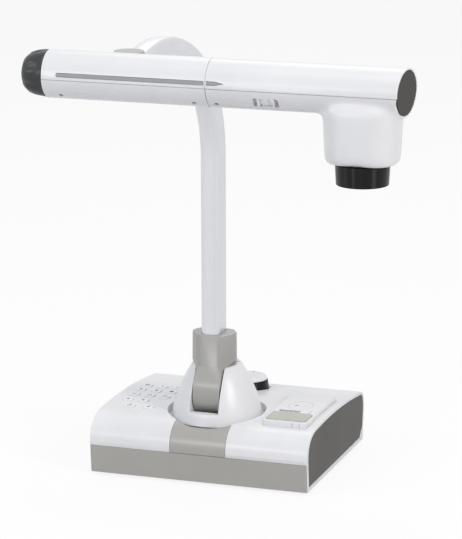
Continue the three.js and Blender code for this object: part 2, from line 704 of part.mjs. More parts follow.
const headZ = armEnd.z - head.drop;
const forkLow = headZ - fork.below;
const forkHigh = headZ + fork.above;
// The sweep lays the section's first direction in the plane of the bend
const barSection = roundedShape(arm.depth / 2, arm.width / 2, arm.corner);
barSection.holes.push(new THREE.Path(roundedShape(
  arm.depth / 2 - arm.wall, arm.width / 2 - arm.wall, arm.corner - arm.wall,
).getPoints(1)));
addPiece('arm_bar', toSolid(new THREE.ExtrudeGeometry(barSection, {
  steps: 34, curveSegments: 2, extrudePath: armPath, bevelEnabled: false,
})), 'silver');

// Fork at the end of the arm: two discs on a neck that plugs into the bar
function alongArmEnd(halfX, halfUp, start, end) {
  const geometry = new THREE.BoxGeometry(2 * halfX, 2 * halfUp, end - start);
  geometry.translate(0, 0, (start + end) / 2);
  geometry.rotateX(armEnd.heading);
  geometry.translate(0, armEnd.y, armEnd.z);
  return toSolid(geometry);
}
const tongueLow = forkLow + fork.plate;
const tongueHigh = forkHigh - fork.plate;
const forkDiscs = [
  drum(0, forkY, forkLow, tongueLow, fork.radius, 32),
  drum(0, forkY, tongueHigh, forkHigh, fork.radius, 32),
];
const plugInset = arm.wall + (arm.corner - arm.wall) / 2;
const plugHalf = arm.width / 2 - plugInset;
const plugUp = arm.depth / 2 - plugInset;
addPiece('arm_fork', cut(
  join(
    ...forkDiscs,
    alongArmEnd(arm.width / 2, arm.depth / 2, gap, fork.reach - fork.radius / 3),
    alongArmEnd(plugHalf, plugUp, -arm.straight, fork.reach - fork.radius / 3),
  ),
  drum(0, forkY, tongueLow, tongueHigh, fork.tongueRadius + 2 * gap, 32),
  drum(0, forkY, forkLow - overrun, forkHigh - fork.plate / 3, fork.pinRadius + gap, 20),
), 'grey');
addPiece('head_pin', drum(
  0, forkY, forkLow + gap, forkHigh - fork.plate / 3 - gap, fork.pinRadius, 20,
), 'steel');

// Lens housing heights, below the head tube
const lensX = head.right - lens.inset;
const lensLow = headZ - lens.below;
const lensHigh = headZ - lens.sink;
const barrelLow = lensLow - lens.barrelLength;
const spigotHigh = lensLow + lens.spigotLength;

// Head tube, split into a rear half on the fork and a front half with the lens, which rolls
// against it; each half is an upper and a lower shell that part just below the middle
const partZ = headZ - head.partDrop;
const boreRadius = head.radius - head.wall;
const tubeRod = (left, right, radius, segments = 48) => rod(headY, headZ, left, right, radius, segments);
const aboveParting = block(
  [head.left - overrun, headY - 2 * overrun, partZ + gap / 2],
  [head.right + overrun, headY + 2 * overrun, headZ + 2 * overrun],
);
const belowParting = block(
  [head.left - overrun, headY - 2 * overrun, barrelLow - overrun],
  [head.right + overrun, headY + 2 * overrun, partZ - gap / 2],
);

// A radial drum whose outer end lies at `outer` from the tube's axis, at an angle below the front
function radialDrum(x, degrees, inner, outer, radius, segments = 14) {
  const geometry = new THREE.CylinderGeometry(radius, radius, outer - inner, segments);
  geometry.translate(0, -(inner + outer) / 2, 0);
  geometry.rotateX(turn(degrees));
  geometry.translate(x, headY, headZ);
  return toSolid(geometry);
}

// Alignment stripe: sunk strips on both sides of the seam, the last one pointed
const stripe = { inset: 13.3, tipReach: 15.8, low: 0.9, high: 4, depth: 0.9, seamGap: 1.4, round: 0.8 };
const stripeLeft = head.left + stripe.inset;
const stripeTip = head.seam + stripe.tipReach;
const stripeMiddle = headZ + (stripe.low + stripe.high) / 2;
const stripeHalf = (stripe.high - stripe.low) / 2;
function stripeBar(outline) {
  const shape = new THREE.Shape(outline.map(([x, z]) => new THREE.Vector2(x, z)));
  const geometry = new THREE.ExtrudeGeometry(shape, { depth: head.radius, bevelEnabled: false });
  geometry.rotateX(rightAngle);
  geometry.translate(0, headY - head.radius / 3, 0);
  return toSolid(geometry);
}
const rearStripe = (grow) => stripeBar([
  [stripeLeft - grow, stripeMiddle + grow / 2],
  [stripeLeft + stripe.round, stripeMiddle + stripeHalf + grow],
  [head.seam - stripe.seamGap + grow, stripeMiddle + stripeHalf + grow],
  [head.seam - stripe.seamGap + grow, stripeMiddle - stripeHalf - grow],
  [stripeLeft + stripe.round, stripeMiddle - stripeHalf - grow],
  [stripeLeft - grow, stripeMiddle - grow / 2],
]);
const frontStripe = (grow) => stripeBar([
  [head.seam + stripe.seamGap - grow, stripeMiddle + stripeHalf + grow],
  [(head.seam + stripeTip) / 2, stripeMiddle + stripeHalf + grow],
  [stripeTip + grow, stripeMiddle + grow / 2], [stripeTip + grow, stripeMiddle - grow / 2],
  [(head.seam + stripeTip) / 2, stripeMiddle - stripeHalf - grow],
  [head.seam + stripe.seamGap - grow, stripeMiddle - stripeHalf - grow],
]);
const stripeSkin = cut(
  tubeRod(head.left, head.right, head.radius), tubeRod(head.left, head.right, head.radius - stripe.depth),
);
const stripeRing = cut(
  tubeRod(head.left - overrun, head.right, head.radius + gap),
  tubeRod(head.left - overrun, head.right, head.radius - stripe.depth - gap),
);

// Rear half: end wall for the knob's shaft, bulkhead for the roll bearing, notch for the fork
const roll = { radius: 11, bore: 8, wall: 3, length: 17 };
const notchRadius = fork.radius + fork.notch;
const notchCut = drum(0, forkY, headZ - 2 * overrun, headZ + 2 * overrun, notchRadius, 32);
const notchWall = drum(0, forkY, headZ - 2 * overrun, headZ + 2 * overrun, notchRadius + head.wall, 32)
  .intersect(tubeRod(head.left, head.seam, head.radius - gap));
const passThrough = block(
  [-fork.tongueHalf - gap, headY, tongueLow + gap], [fork.tongueHalf + gap, forkY, tongueHigh - gap],
);
const screw = {
  angle: 51.5, radius: 1.7, head: 0.7, inner: 11.6, boss: 3.4,
  fromLeft: 14.8, beforeSeam: 11.7, pastSeam: 7.8,
};
const rearScrews = [head.left + screw.fromLeft, head.seam - screw.beforeSeam];
const frontScrew = head.seam + screw.pastSeam;
const screwBoss = (x) => radialDrum(
  x, screw.angle, screw.inner + screw.radius, head.radius - gap, screw.boss,
);
const screwHole = (x) => radialDrum(x, screw.angle, screw.inner, head.radius + overrun, screw.radius + gap);
const screwPin = (x) => radialDrum(
  x, screw.angle, screw.inner + gap, head.radius - screw.head, screw.radius,
);
const rearRight = head.seam - gap / 2;
const rearTube = cut(
  join(
    cut(
      tubeRod(head.left, rearRight, head.radius),
      tubeRod(head.left + head.wall, rearRight - roll.wall, boreRadius),
    ),
    notchWall,
    tubeRod(rearRight - roll.length, rearRight - roll.wall + gap, roll.radius + roll.wall + gap, 28),
    ...rearScrews.map(screwBoss),
  ),
  notchCut, passThrough,
  tubeRod(rearRight - roll.length - gap, rearRight + overrun, roll.radius + gap, 28),
  tubeRod(head.left - overrun, head.left + 2 * head.wall, knob.bore + gap, 20),
  ...rearScrews.map(screwHole),
);
addPiece('rear_tube_upper', cut(
  rearTube.intersect(aboveParting), rearStripe(gap).intersect(stripeRing),
), 'white');
addPiece('rear_tube_lower', rearTube.intersect(belowParting), 'white');
addPiece('stripe_inlay', rearStripe(0).intersect(stripeSkin), 'stripe');
addPiece('rear_screw_left', screwPin(rearScrews[0]), 'steel');
addPiece('rear_screw_right', screwPin(rearScrews[1]), 'steel');

// Knuckle: a tongue between the fork's discs, and a block clamped inside the rear tube
const knuckleHalf = 13;
addPiece('head_knuckle', cut(
  join(
    drum(0, forkY, tongueLow + gap, tongueHigh - gap, fork.tongueRadius, 32),
    block(
      [-fork.tongueHalf, headY, tongueLow + 2 * gap], [fork.tongueHalf, forkY, tongueHigh - 2 * gap],
    ),
    cut(
      tubeRod(-knuckleHalf, knuckleHalf, boreRadius - gap, 32),
      drum(0, forkY, forkLow - overrun, forkHigh + overrun, notchRadius + head.wall + gap, 32),
    ),
  ),
  drum(0, forkY, forkLow - overrun, forkHigh + overrun, fork.pinRadius + gap, 20),
  tubeRod(-knuckleHalf - overrun, knuckleHalf + overrun, knob.bore, 16),
), 'grey');

// Left end knob with finger flutes, on the shaft of its encoder
const knobShares = [
  [0, 0], [0.985, 0], [1, 0.04], [0.99, 0.24], [0.95, 0.46],
  [0.865, 0.68], [0.7, 0.86], [0.43, 0.965], [0, 1],
];
const knobGeometry = new THREE.LatheGeometry(
  knobShares.map(([out, along]) => new THREE.Vector2(out * knob.radius, along * knob.length)), 56,
);
const knobPoints = knobGeometry.attributes.position;
for (let corner = 0; corner < knobPoints.count; corner += 1) {
  const along = knobPoints.getY(corner) / knob.length;
  const around = Math.atan2(knobPoints.getZ(corner), knobPoints.getX(corner));
  const out = Math.hypot(knobPoints.getX(corner), knobPoints.getZ(corner));
  const scoop = Math.max(Math.cos(knob.flutes * around), 0) * Math.sin(halfTurn * Math.min(along, 1)) ** 2;
  const share = out > 0 ? 1 - (knob.fluteDepth * scoop) / out : 1;
  knobPoints.setX(corner, knobPoints.getX(corner) * share);
  knobPoints.setZ(corner, knobPoints.getZ(corner) * share);
}
knobGeometry.rotateZ(rightAngle);
knobGeometry.translate(head.left - gap, headY, headZ);
addPiece('end_knob', cut(
  facingOut(knobGeometry),
  tubeRod(head.left - gap - knob.boreDepth, head.left + overrun, knob.bore + gap, 20),
), 'rubber');
addPiece('knob_shaft', tubeRod(
  head.left - knob.boreDepth, head.left + 2 * knob.boreDepth, knob.bore, 20,
), 'steel');

// Roll bearing: a hollow sleeve across the seam on which the front half turns
addPiece('roll_sleeve', cut(
  tubeRod(rearRight - roll.length + gap, rearRight + roll.length - gap, roll.radius, 28),
  tubeRod(rearRight - roll.length - overrun, rearRight + roll.length + overrun, roll.bore, 24),
), 'steel');

// Front half, with its right end cut on a slant for the end disc
const endFacingShares = [1, -0.153, -0.046];
const endNormal = new THREE.Vector3(...endFacingShares).normalize();
function pastEnd(inset) {
  const size = 4 * overrun;
  const geometry = new THREE.BoxGeometry(size, size, size);
  geometry.translate(size / 2 - inset, 0, 0);
  geometry.applyQuaternion(new THREE.Quaternion().setFromUnitVectors(new THREE.Vector3(1, 0, 0), endNormal));
  geometry.translate(head.right, headY, headZ);
  return toSolid(geometry);
}
function endDrum(radius, inner, outer) {
  const geometry = new THREE.CylinderGeometry(radius, radius, outer - inner, 40);
  geometry.rotateZ(-rightAngle);
  geometry.translate((inner + outer) / 2, 0, 0);
  geometry.applyQuaternion(new THREE.Quaternion().setFromUnitVectors(new THREE.Vector3(1, 0, 0), endNormal));
  geometry.translate(head.right, headY, headZ);
  return toSolid(geometry);
}
const disc = { radius: 18.8, thick: 1.8 };
const housing = (inset, low, high, bevel) => moved(
  roundedBlock(
    lens.half - inset, lens.halfDepth - inset, low, high, lens.corner - inset, bevel,
    { curveSegments: 5, bevelSegments: 3, lowShares: [lens.lowHalf / lens.half, 1] },
  ),
  lensX, headY, 0,
);
const frontLeft = head.seam + gap / 2;
const slider = {
  pastSeam: 40.4, pocket: 21.5, inset: 3.5, angle: 37.8, half: 4.6, depth: 2.6, proud: 0.2, ridge: 1.6,
};
const pocketX = [head.seam + slider.pastSeam, head.seam + slider.pastSeam + slider.pocket];
const sliderX = [pocketX[0] + slider.inset, pocketX[1] - slider.inset];
function sliderBlock(left, right, half, inner, outer) {
  const geometry = new THREE.BoxGeometry(right - left, outer - inner, 2 * half);
  geometry.translate((left + right) / 2, -(inner + outer) / 2, 0);
  geometry.rotateX(turn(slider.angle));
  geometry.translate(0, headY, headZ);
  return toSolid(geometry);
}
const sliderBed = sliderBlock(
  pocketX[0] - head.wall, pocketX[1] + head.wall, slider.half + head.wall / 2,
  head.radius - 2 * slider.depth - head.wall, head.radius - gap,
).intersect(tubeRod(head.seam, head.right, head.radius));
const sliderPocket = sliderBlock(
  ...pocketX, slider.half, head.radius - 2 * slider.depth, head.radius + overrun,
);
const frontTube = cut(
  join(
    cut(
      join(
        tubeRod(frontLeft, head.right + overrun / 2, head.radius), housing(0, lensLow, lensHigh, lens.round),
      ),
      tubeRod(frontLeft + roll.wall, head.right + overrun / 2, boreRadius)
        .subtract(pastEnd(head.endWall + disc.thick)),
      housing(lens.wall, lensLow + lens.wall, lensHigh - lens.wall, lens.round / 2),
    ),
    tubeRod(frontLeft + roll.wall - gap, frontLeft + roll.length, roll.radius + roll.wall, 28),
    screwBoss(frontScrew), sliderBed,
  ),
  pastEnd(0), endDrum(disc.radius + gap, -disc.thick - gap, overrun),
  tubeRod(frontLeft - overrun, frontLeft + roll.length + gap, roll.radius + gap, 28),
  drum(lensX, headY, lensLow - overrun, lensLow + 2 * lens.round, lens.spigotRadius + gap, 40),
  screwHole(frontScrew), sliderPocket,
);
addPiece('front_tube_upper', cut(
  frontTube.intersect(aboveParting), frontStripe(gap).intersect(stripeRing),
), 'white');
addPiece('front_tube_lower', frontTube.intersect(belowParting), 'white');
addPiece('stripe_tip', frontStripe(0).intersect(stripeSkin), 'stripe');
addPiece('front_screw', screwPin(frontScrew), 'steel');
addPiece('end_disc', endDrum(disc.radius, -disc.thick, 0), 'panel');

// Slider in its pocket, with a raised ridge at each end
const sliderTop = head.radius - slider.depth;
addPiece('head_slider', join(
  sliderBlock(...sliderX, slider.half - gap, head.radius - 2 * slider.depth + gap, sliderTop),
  ...[sliderX[0], sliderX[1] - slider.ridge].map((x) => sliderBlock(
    x, x + slider.ridge, slider.half - gap, sliderTop - gap, head.radius + slider.proud,
  )),
), 'white');

// Lens barrel with its front glass, and the lens group and sensor inside the housing
const glassLow = barrelLow + lens.glassInset;
const glassHigh = glassLow + lens.glassThick;
addPiece('lens_barrel', cut(
  join(
    drum(lensX, headY, barrelLow, lensLow - gap, lens.barrelRadius - lens.taper, 48, lens.barrelRadius),
    drum(lensX, headY, lensLow - 2 * gap, spigotHigh, lens.spigotRadius, 40),
  ),
  drum(lensX, headY, glassHigh + gap, spigotHigh + overrun, lens.glassRadius - lens.barrelWall / 2, 40),
  drum(lensX, headY, barrelLow - overrun, glassHigh + 2 * gap, lens.glassRadius + gap, 40),
), 'black');
addPiece('front_glass', drum(lensX, headY, glassLow, glassHigh, lens.glassRadius, 36), 'glass');
const group = { radius: 12.5, rise: 31, flange: 18, board: 15, boardThick: 1.6 };
const groupTop = lensLow + group.rise;
addPiece('lens_group', join(
  drum(lensX, headY, glassHigh + 2 * gap, groupTop, group.radius, 28),
  drum(lensX, headY, spigotHigh + gap, spigotHigh + 2 * lens.wall, group.flange, 28),
), 'black');
addPiece('sensor_board', block(
  [lensX - group.board, headY - group.board, groupTop + gap],
  [lensX + group.board, headY + group.board, groupTop + gap + group.boardThick],
), 'board');

// The part's origin is under the middle of its whole outline, on the surface it stands on
const outline = new THREE.Box3().setFromObject(documentCamera);
const middle = outline.getCenter(new THREE.Vector3());
documentCamera.position.set(-middle.x, -middle.y, 0);

export default documentCamera;
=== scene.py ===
import json
from math import atan2, cos, hypot, pi, radians, sin
import bmesh
import bpy
import numpy as np
from mathutils import Matrix, Vector


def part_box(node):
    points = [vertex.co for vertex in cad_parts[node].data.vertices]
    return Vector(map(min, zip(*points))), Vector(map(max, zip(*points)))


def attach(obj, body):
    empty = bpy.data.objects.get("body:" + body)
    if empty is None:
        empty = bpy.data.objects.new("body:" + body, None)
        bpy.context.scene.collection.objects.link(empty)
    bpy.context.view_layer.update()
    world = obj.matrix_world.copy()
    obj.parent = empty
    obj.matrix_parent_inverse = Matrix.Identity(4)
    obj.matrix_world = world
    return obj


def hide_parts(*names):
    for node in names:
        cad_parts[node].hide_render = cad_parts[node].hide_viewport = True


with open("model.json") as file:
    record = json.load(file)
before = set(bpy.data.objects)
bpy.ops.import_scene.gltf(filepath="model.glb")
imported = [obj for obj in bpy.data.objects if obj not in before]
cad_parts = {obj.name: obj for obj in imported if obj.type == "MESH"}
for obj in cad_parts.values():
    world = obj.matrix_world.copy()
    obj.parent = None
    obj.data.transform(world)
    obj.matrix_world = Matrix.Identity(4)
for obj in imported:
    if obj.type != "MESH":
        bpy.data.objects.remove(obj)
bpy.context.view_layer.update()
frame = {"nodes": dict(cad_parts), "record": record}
scene = bpy.context.scene
scene.view_settings.view_transform = "Standard"

# Camera
# It stands to the right of the base's front and a little above the head, at long range. Its place
# and its three angles, in degrees, were fitted to the base's edges and the head tube's outline.
CAMERA_PLACE = (0.77337, -2.36241, 0.8157)
CAMERA_TURN, CAMERA_DIP, CAMERA_ROLL = 18.88, 13.62, -0.14
CAMERA_LENS = 190.67
camera_data = bpy.data.cameras.new("camera")
camera_data.lens = CAMERA_LENS
camera_data.sensor_width = 36.0
camera_data.clip_start, camera_data.clip_end = 0.1, 30.0
camera = bpy.data.objects.new("camera", camera_data)
camera.matrix_world = (
    Matrix.Translation(CAMERA_PLACE)
    @ Matrix.Rotation(radians(CAMERA_TURN), 4, "Z")
    @ Matrix.Rotation(radians(90 - CAMERA_DIP), 4, "X")
    @ Matrix.Rotation(radians(CAMERA_ROLL), 4, "Z")
)
scene.collection.objects.link(camera)
scene.camera = camera

# Surroundings
# A pale plain floor under a white surround, with a warm soft lamp on the right and weaker ones in
# front, on the left, above and behind. The floor glows white to the camera but keeps a soft shadow.
AMBIENT, BACKDROP = 0.41, 0.95
LAMP_AIM = Vector((-0.03, 0.0, 0.2))
FLOOR_REACH = 6
FLOOR_COLOUR = (0.62, 0.62, 0.63, 1)
FLOOR_GLOW, FLOOR_GLOW_SHARE = 1.09, 0.8


def background_rays(wires):
    """1 for a ray from the camera, a gloss or a glass, which sees the plain white backdrop"""
    rays = wires.nodes.new("ShaderNodeLightPath")
    most = rays.outputs["Is Camera Ray"]
    for kind in ("Is Glossy Ray", "Is Transmission Ray"):
        either = wires.nodes.new("ShaderNodeMath")
        either.operation = "MAXIMUM"
        wires.links.new(most, either.inputs[0])
        wires.links.new(rays.outputs[kind], either.inputs[1])
        most = either.outputs[0]
    return most


world = bpy.data.worlds.new("white surround")
scene.world = world
world.use_nodes = True
wires = world.node_tree
wires.nodes.clear()
ambient = wires.nodes.new("ShaderNodeBackground")
ambient.inputs["Color"].default_value = (0.95, 0.96, 1.0, 1)
ambient.inputs["Strength"].default_value = AMBIENT
backdrop = wires.nodes.new("ShaderNodeBackground")
backdrop.inputs["Color"].default_value = (1, 1, 1, 1)
backdrop.inputs["Strength"].default_value = BACKDROP
chosen = wires.nodes.new("ShaderNodeMixShader")
surround = wires.nodes.new("ShaderNodeOutputWorld")
wires.links.new(background_rays(wires), chosen.inputs[0])
wires.links.new(ambient.outputs[0], chosen.inputs[1])
wires.links.new(backdrop.outputs[0], chosen.inputs[2])
wires.links.new(chosen.outputs[0], surround.inputs["Surface"])


def soft_lamp(name, place, width, watts, colour):
    """A round lamp at a place, turned towards the object"""
    data = bpy.data.lights.new(name, "AREA")
    data.shape = "DISK"
    data.size = width
    data.energy = watts
    data.color = colour
    lamp = bpy.data.objects.new(name, data)
    lamp.location = place
    lamp.rotation_mode = "QUATERNION"
    lamp.rotation_quaternion = (LAMP_AIM - lamp.location).to_track_quat("-Z", "Y")
    scene.collection.objects.link(lamp)


soft_lamp("lamp front", (-0.75, -2.2, 0.85), 0.3, 7.5, (0.97, 0.98, 1.0))
soft_lamp("lamp left", (-1.7, -1.1, 1.2), 0.6, 7, (0.97, 0.98, 1.0))
soft_lamp("lamp right", (1.9, -0.9, 1.2), 0.6, 20, (1.0, 0.98, 0.94))
soft_lamp("lamp above", (0.1, -0.6, 2.2), 0.55, 9, (1.0, 1.0, 0.99))
soft_lamp("lamp behind", (-0.3, 1.3, 1.9), 1.2, 7, (1.0, 1.0, 1.0))

floor_mesh = bpy.data.meshes.new("floor")
floor_corners = [(FLOOR_REACH * x, FLOOR_REACH * y, 0) for x, y in ((-1, -1), (1, -1), (1, 1), (-1, 1))]
floor_mesh.from_pydata(floor_corners, [], [(0, 1, 2, 3)])
floor = bpy.data.objects.new("floor", floor_mesh)
scene.collection.objects.link(floor)
floor_paint = bpy.data.materials.new("pale floor")
floor_paint.use_nodes = True
wires = floor_paint.node_tree
matt = wires.nodes["Principled BSDF"]
matt.inputs["Base Color"].default_value = FLOOR_COLOUR
matt.inputs["Roughness"].default_value = 0.9
lit = wires.nodes.new("ShaderNodeMath")
lit.operation = "MULTIPLY"
lit.inputs[1].default_value = FLOOR_GLOW_SHARE
wires.links.new(background_rays(wires), lit.inputs[0])
glow = wires.nodes.new("ShaderNodeEmission")
glow.inputs["Strength"].default_value = FLOOR_GLOW
chosen = wires.nodes.new("ShaderNodeMixShader")
wires.links.new(lit.outputs[0], chosen.inputs[0])
wires.links.new(matt.outputs[0], chosen.inputs[1])
wires.links.new(glow.outputs[0], chosen.inputs[2])
wires.links.new(chosen.outputs[0], wires.nodes["Material Output"].inputs["Surface"])
floor_mesh.materials.append(floor_paint)

# Base cover
# The white ABS lid of the base, moulded in one piece with wells for the dome, the dial, the pod and
# the keys. Its cheeks are rounded by nearly two millimetres and its other edges by half of one.
CHEEK_EDGE = 0.0017
COVER_EDGE = 0.0005
WELD = 0.000002
FLAT_ANGLE, SHARP_ANGLE = 1, 32
CHEEK_MARGIN = 0.0002


def moulded(
    name, colour, roughness, drift=0.025, grain=0.0007, depth=0.00002, coat=0.0, specular=0.5, worn=0.05,
):
    """Moulded plastic: slow drift of tone, fine spark grain, uneven gloss and edges rubbed paler"""
    paint = bpy.data.materials.new(name)
    paint.use_nodes = True
    wires = paint.node_tree
    shader = wires.nodes["Principled BSDF"]
    shader.inputs["Coat Weight"].default_value = coat
    shader.inputs["Coat Roughness"].default_value = 0.12
    shader.inputs["Specular IOR Level"].default_value = specular
    place = wires.nodes.new("ShaderNodeTexCoord")
    cloud = wires.nodes.new("ShaderNodeTexNoise")
    cloud.inputs["Scale"].default_value = 22
    cloud.inputs["Detail"].default_value = 4
    wires.links.new(place.outputs["Object"], cloud.inputs["Vector"])
    tones = wires.nodes.new("ShaderNodeValToRGB")
    tones.color_ramp.elements[0].position = 0.3
    tones.color_ramp.elements[1].position = 0.7
    tones.color_ramp.elements[0].color = (*[c * (1 - drift) for c in colour], 1)
    tones.color_ramp.elements[1].color = (*[min(c * (1 + drift), 1) for c in colour], 1)
    wires.links.new(cloud.outputs["Fac"], tones.inputs["Fac"])
    rim = wires.nodes.new("ShaderNodeNewGeometry")
    rubbed = wires.nodes.new("ShaderNodeMapRange")
    rubbed.inputs["From Min"].default_value = 0.52
    rubbed.inputs["From Max"].default_value = 0.62
    rubbed.inputs["To Max"].default_value = worn
    wires.links.new(rim.outputs["Pointiness"], rubbed.inputs["Value"])
    paler = wires.nodes.new("ShaderNodeMix")
    paler.data_type = "RGBA"
    paler.inputs["B"].default_value = (0.95, 0.95, 0.95, 1)
    wires.links.new(rubbed.outputs["Result"], paler.inputs["Factor"])
    wires.links.new(tones.outputs["Color"], paler.inputs["A"])
    wires.links.new(paler.outputs["Result"], shader.inputs["Base Color"])
    speck = wires.nodes.new("ShaderNodeTexNoise")
    speck.inputs["Scale"].default_value = 1 / grain
    speck.inputs["Detail"].default_value = 2
    wires.links.new(place.outputs["Object"], speck.inputs["Vector"])
    gloss = wires.nodes.new("ShaderNodeMapRange")
    gloss.inputs["To Min"].default_value = roughness - 0.06
    gloss.inputs["To Max"].default_value = roughness + 0.08
    wires.links.new(cloud.outputs["Fac"], gloss.inputs["Value"])
    wires.links.new(gloss.outputs["Result"], shader.inputs["Roughness"])
    bump = wires.nodes.new("ShaderNodeBump")
    bump.inputs["Strength"].default_value = 0.35
    bump.inputs["Distance"].default_value = depth
    wires.links.new(speck.outputs["Fac"], bump.inputs["Height"])
    wires.links.new(bump.outputs["Normal"], shader.inputs["Normal"])
    return paint


def placed(name, mesh, smooth=35):
    """A new piece from a mesh, its curves shaded smooth and its edges kept sharp"""
    mesh.shade_smooth()
    mesh.set_sharp_from_angle(angle=radians(smooth))
    piece = bpy.data.objects.new(name, mesh)
    scene.collection.objects.link(piece)
    return piece


def rounded(node, edge, segments=2, wide=None, smooth=40):
    """A piece with a node's shape and rounded mould edges; wide gives some edges their own width"""
    mesh = frame["nodes"][node].data.copy()
    mesh.materials.clear()
    shape = bmesh.new()
    shape.from_mesh(mesh)
    bmesh.ops.remove_doubles(shape, verts=shape.verts, dist=WELD)
    bmesh.ops.dissolve_limit(
        shape, angle_limit=radians(FLAT_ANGLE), verts=shape.verts, edges=shape.edges,
    )
    weights = shape.edges.layers.float.new("bevel_weight_edge")
    for line in shape.edges:
        if len(line.link_faces) == 2 and line.calc_face_angle(0) > radians(SHARP_ANGLE):
            line[weights] = (wide and wide(line) or edge) / CHEEK_EDGE
    shape.to_mesh(mesh)
    shape.free()
    piece = placed(node + "_shell", mesh, smooth)
    if edge:
        bevel = piece.modifiers.new("mould edges", "BEVEL")
        bevel.width = CHEEK_EDGE
        bevel.segments = segments
        bevel.limit_method = "WEIGHT"
        bevel.use_clamp_overlap = True
        bevel.harden_normals = True
    return piece


def fitted(piece, paint, slot, body, *nodes):
    """The piece takes its finish, rides on its body and stands for its frame nodes"""
    piece.data.materials.clear()
    piece.data.materials.append(paint)
    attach(piece, body)
    if nodes:
        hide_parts(*nodes)
    return piece


def cheek_rim(line):
    """The outer edge of a cheek, but not the edge of the panel's recess in it"""
    if min(abs(v.co.x - base_middle.x) for v in line.verts) < base_half - CHEEK_MARGIN:
        return 0
    across = [face for face in line.link_faces if abs(face.normal.x) < 0.5]
    outward = (line.verts[0].co + line.verts[1].co) / 2 - base_middle
    return CHEEK_EDGE if across and outward.dot(across[0].normal) > 0 else 0


low, high = (Vector(corner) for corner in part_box("base_cover"))
base_middle = (low + high) / 2
base_half = (high.x - low.x) / 2
white_plastic = moulded("satin white plastic", (0.80, 0.803, 0.822), 0.32)
cover = rounded("base_cover", COVER_EDGE, 3, cheek_rim)
fitted(cover, white_plastic, "white", "base", "base_cover")

# Base tray and front trim
# Warm grey ABS: the tray's rim shows as a band round the base, and the trim is a separate plate
# that clips into the middle of the front. Both have a slightly coarser skin than the cover.
TRAY_EDGE = 0.0004
TRIM_EDGE = 0.0003
grey_plastic = moulded(
    "warm grey plastic", (0.395, 0.387, 0.36), 0.35, grain=0.0009, depth=0.00002, specular=0.8,
)
fitted(rounded("base_tray", TRAY_EDGE), grey_plastic, "grey", "base", "base_tray")
fitted(rounded("front_trim", TRIM_EDGE), grey_plastic, "grey", "base", "front_trim")

# Side panels
# Dark polycarbonate plates, glued flush into shallow recesses in both cheeks of the cover. Their
# satin front hardly mirrors the white room.
PANEL_EDGE = 0.0002
panel_plate = moulded(
    "dark satin plate", (0.052, 0.048, 0.040), 0.4, drift=0.06, depth=0.000006, specular=0.2, worn=0.02,
)
for side in ("left", "right"):
    node = "side_panel_" + side
    fitted(rounded(node, PANEL_EDGE), panel_plate, "panel", "base", node)

# Feet
# Round pads of dark rubber, a little narrower at the bottom, glued onto the underside of the tray.
# They carry the whole weight and keep the base from sliding.
FOOT_EDGE = 0.0006
dark_rubber = moulded(
    "dark rubber", (0.062, 0.065, 0.068), 0.66, drift=0.08, grain=0.0006, depth=0.00005, specular=0.3,
)
for corner in ("front_left", "front_right", "rear_left", "rear_right"):
    node = "foot_" + corner
    fitted(rounded(node, FOOT_EDGE, 3), dark_rubber, "rubber", "base", node)

# Rear connector panel
# Black moulded plate set flush into the back of the grey tray. Five plain sockets for leads are sunk
# into it in a row.
REAR_EDGE = 0.0002
black_plastic = moulded("black plastic", (0.016, 0.016, 0.018), 0.36, drift=0.1, specular=0.3)
fitted(rounded("rear_panel", REAR_EDGE), black_plastic, "black", "base", "rear_panel")

# Keys
# Thirteen white caps over a rubber mat, a little proud of the cover. Each carries a small printed
# sign of dark ink, plain bars, rings and arrows, a few hundredths of a millimetre thick.
KEY_EDGE = 0.0003
INK_THICKNESS = 0.00004
INK_LINE = 0.00055
SIGN_SIZE = 1.3
RING_PLATES, PLATE_SHARE = 12, 0.94
key_plastic = moulded("white key plastic", (0.86, 0.865, 0.885), 0.4)
ink = moulded("dark grey ink", (0.045, 0.05, 0.048), 0.5, drift=0.1, depth=0.000004, worn=0.0)


def circle(radius, count=20, start=0.0):
    """The corners of a round dot, or of a triangle if there are three"""
    return [
        (radius * cos(start + 2 * pi * step / count), radius * sin(start + 2 * pi * step / count))
        for step in range(count)
    ]


def printed(name, outlines, place, paint, body, slot, lean=0.0):
    """Ink marks: thin closed plates with the given outlines, lying on a face that leans by an angle"""
    shape = bmesh.new()
    for outline in outlines:
        floor_ring = [shape.verts.new((x, y, 0)) for x, y in outline]
        roof_ring = [shape.verts.new((x, y, INK_THICKNESS)) for x, y in outline]
        shape.faces.new(floor_ring[::-1])
        shape.faces.new(roof_ring)
        for step in range(len(outline)):
            after = (step + 1) % len(outline)
            shape.faces.new((floor_ring[step], floor_ring[after], roof_ring[after], roof_ring[step]))
    bmesh.ops.recalc_face_normals(shape, faces=shape.faces)
    bmesh.ops.rotate(shape, verts=shape.verts, matrix=Matrix.Rotation(lean, 3, "X"))
    bmesh.ops.translate(shape, verts=shape.verts, vec=place)
    mesh = bpy.data.meshes.new(name)
    shape.to_mesh(mesh)
    shape.free()
    return fitted(placed(name, mesh, 30), paint, slot, body)


def bar(x, y, across, along):
    """The corners of a bar from its middle and its half sizes"""
    return [
        (x - across, y - along), (x + across, y - along), (x + across, y + along), (x - across, y + along),
    ]


def ring(radius):
    """A ring drawn as short plates side by side, each one closed"""
    plates = []
    for step in range(RING_PLATES):
        a, b = (2 * pi * (step + k) / RING_PLATES for k in (0.0, PLATE_SHARE))
        plates.append([
            (radius * cos(a), radius * sin(a)), (radius * cos(b), radius * sin(b)),
            ((radius - INK_LINE) * cos(b), (radius - INK_LINE) * sin(b)),
            ((radius - INK_LINE) * cos(a), (radius - INK_LINE) * sin(a)),
        ][::-1])
    return plates


